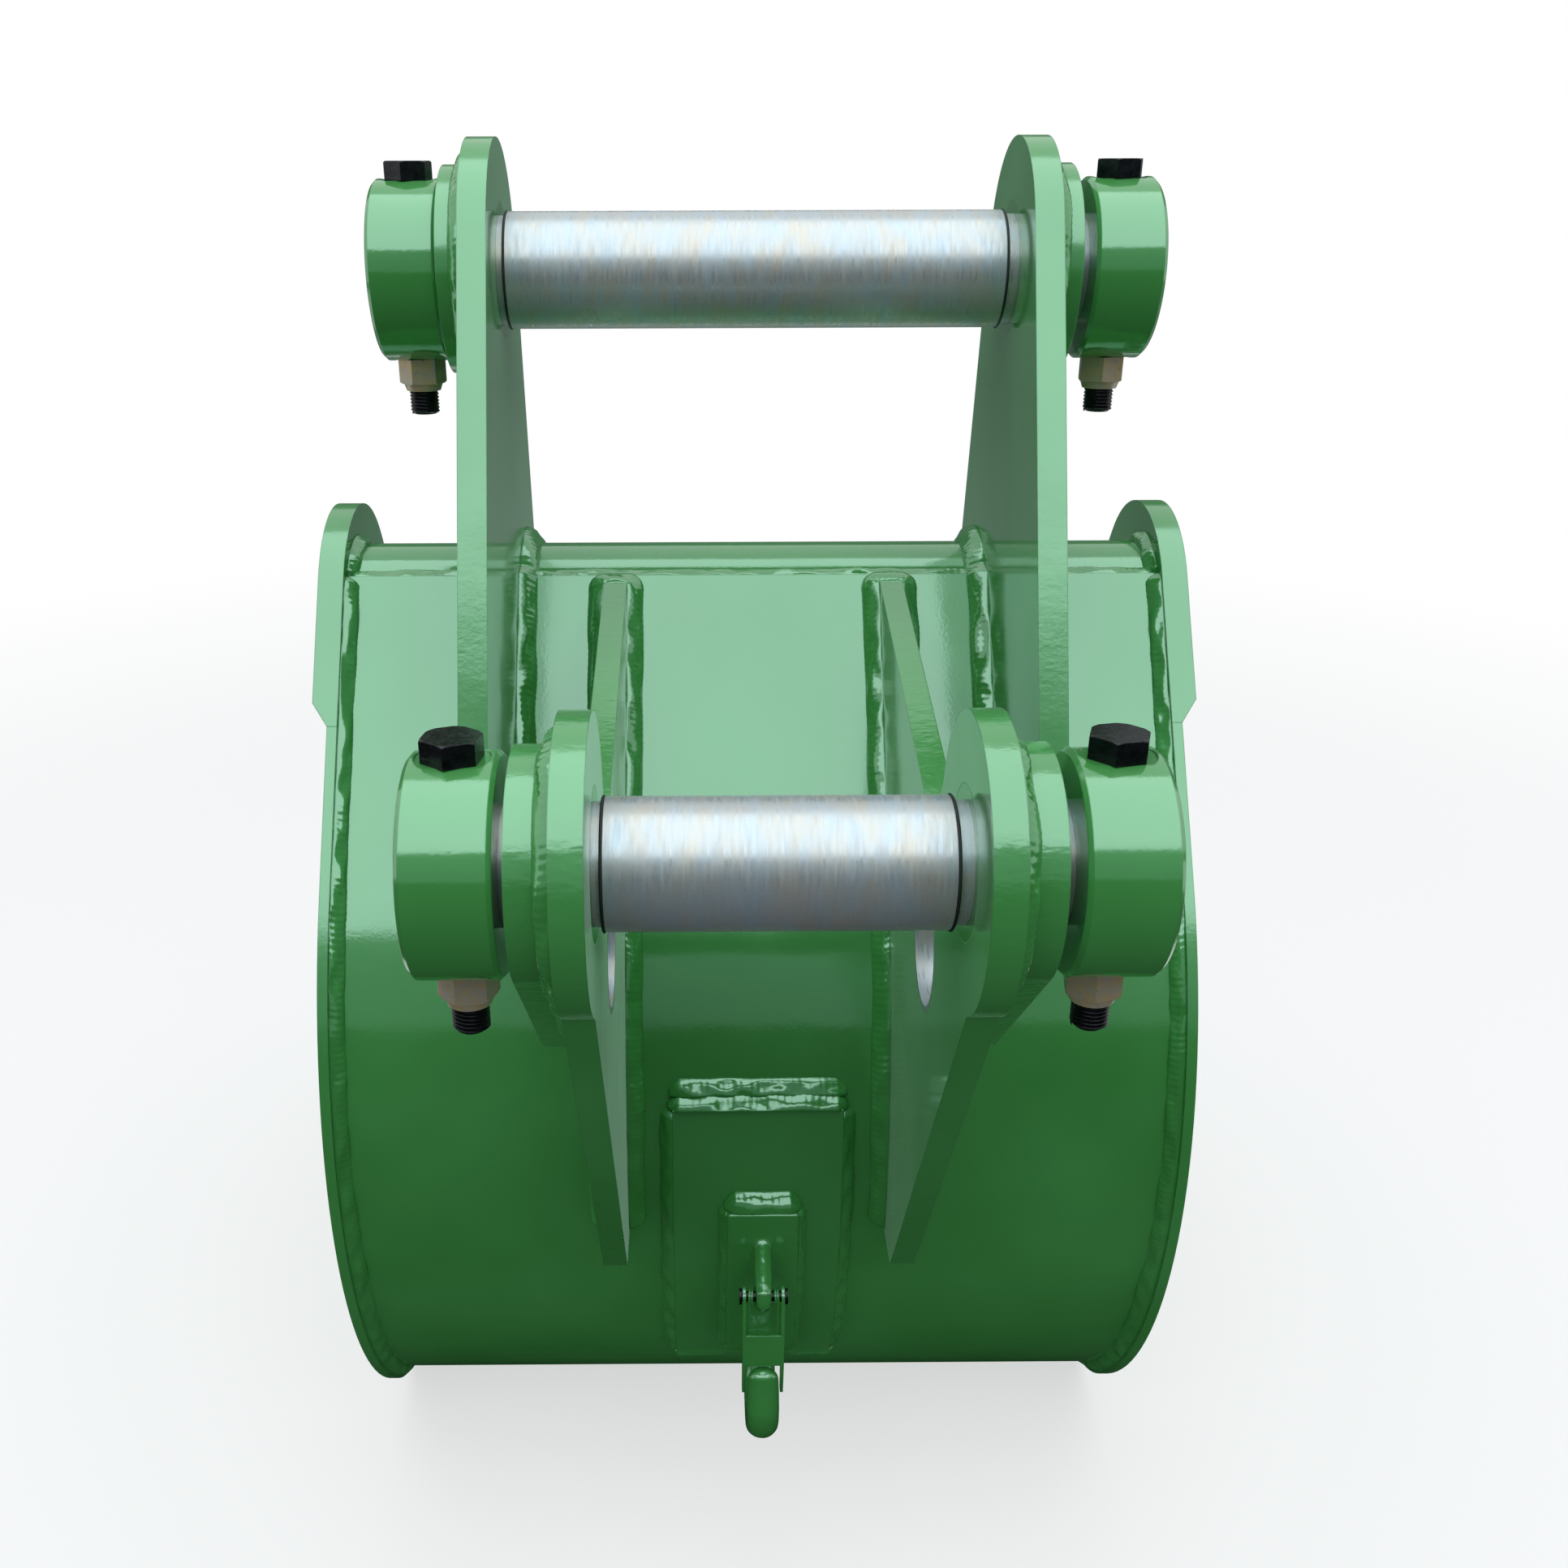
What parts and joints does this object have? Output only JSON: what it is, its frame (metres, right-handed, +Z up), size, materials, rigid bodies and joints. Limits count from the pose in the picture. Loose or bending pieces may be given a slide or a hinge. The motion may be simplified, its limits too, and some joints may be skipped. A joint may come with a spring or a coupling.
{
  "type": "excavator digging bucket",
  "caption": "Welded digging bucket with ears, tube, cutting edge and teeth, turning pins held by bolted collars, and a lifting hook with a sprung latch.",
  "frame": {"origin": "on the ground at mid width, under the cutting edge", "axes": "+X across the bucket along the pins, +Y towards the teeth and mouth, +Z up; the bucket stands on its floor and cutting edge"},
  "size_m": [0.685, 1.4853, 1.0935],
  "materials": {
    "green_enamel": "gloss",
    "ground_steel": "satin",
    "black_steel": "satin",
    "zinc_plated": "satin",
    "rubber_ring": "matte"
  },
  "bodies": {
    "bucket": {"wrapper": "green_enamel", "torque_tube": "green_enamel", "side_plate_left": "green_enamel", "side_plate_right": "green_enamel", "side_bar_left": "green_enamel", "side_bar_right": "green_enamel", "cutting_edge": "green_enamel", "tooth_adapter_1": "green_enamel", "tooth_adapter_2": "green_enamel", "tooth_adapter_3": "green_enamel", "tooth_adapter_4": "green_enamel", "tooth_point_1": "green_enamel", "tooth_point_2": "green_enamel", "tooth_point_3": "green_enamel", "tooth_point_4": "green_enamel", "tooth_pins": "black_steel", "dipper_ear_left": "green_enamel", "dipper_ear_right": "green_enamel", "link_ear_left": "green_enamel", "link_ear_right": "green_enamel", "link_doubler_left": "green_enamel", "link_doubler_right": "green_enamel", "dipper_boss_left": "green_enamel", "dipper_boss_right": "green_enamel", "dipper_bush_left": "ground_steel", "dipper_bush_right": "ground_steel", "link_bush_left": "ground_steel", "link_bush_right": "ground_steel", "spare_bush_left": "ground_steel", "spare_bush_right": "ground_steel", "heel_pad": "green_enamel", "hook_body": "green_enamel", "latch_pin": "black_steel"},
    "dipper_pin_set": {"dipper_pin": "ground_steel", "dipper_sleeve": "ground_steel", "dipper_seals": "rubber_ring", "dipper_collar_left": "green_enamel", "dipper_collar_right": "green_enamel", "dipper_bolts": "black_steel", "dipper_nuts": "zinc_plated"},
    "link_pin_set": {"link_pin": "ground_steel", "link_sleeve": "ground_steel", "link_seals": "rubber_ring", "link_collar_left": "green_enamel", "link_collar_right": "green_enamel", "link_bolts": "black_steel", "link_nuts": "zinc_plated"},
    "latch": {"hook_latch": "green_enamel", "latch_spring": "zinc_plated"}
  },
  "joints": [
    {"name": "dipper_pin_spin", "type": "hinge", "parent": "bucket", "child": "dipper_pin_set", "pos_m": [0, -0.603, 1.0045], "axis": [1, 0, 0], "continuous": true},
    {"name": "link_pin_spin", "type": "hinge", "parent": "bucket", "child": "link_pin_set", "pos_m": [0, -1.044, 0.7295], "axis": [1, 0, 0], "continuous": true},
    {"name": "latch_swing", "type": "hinge", "parent": "bucket", "child": "latch", "pos_m": [0.004, -0.85667, 0.28], "axis": [1, 0, 0], "range_deg": [0, 32], "stiffness_Nm_per_rad": 0.15, "springref_deg": -17.19}
  ]
}
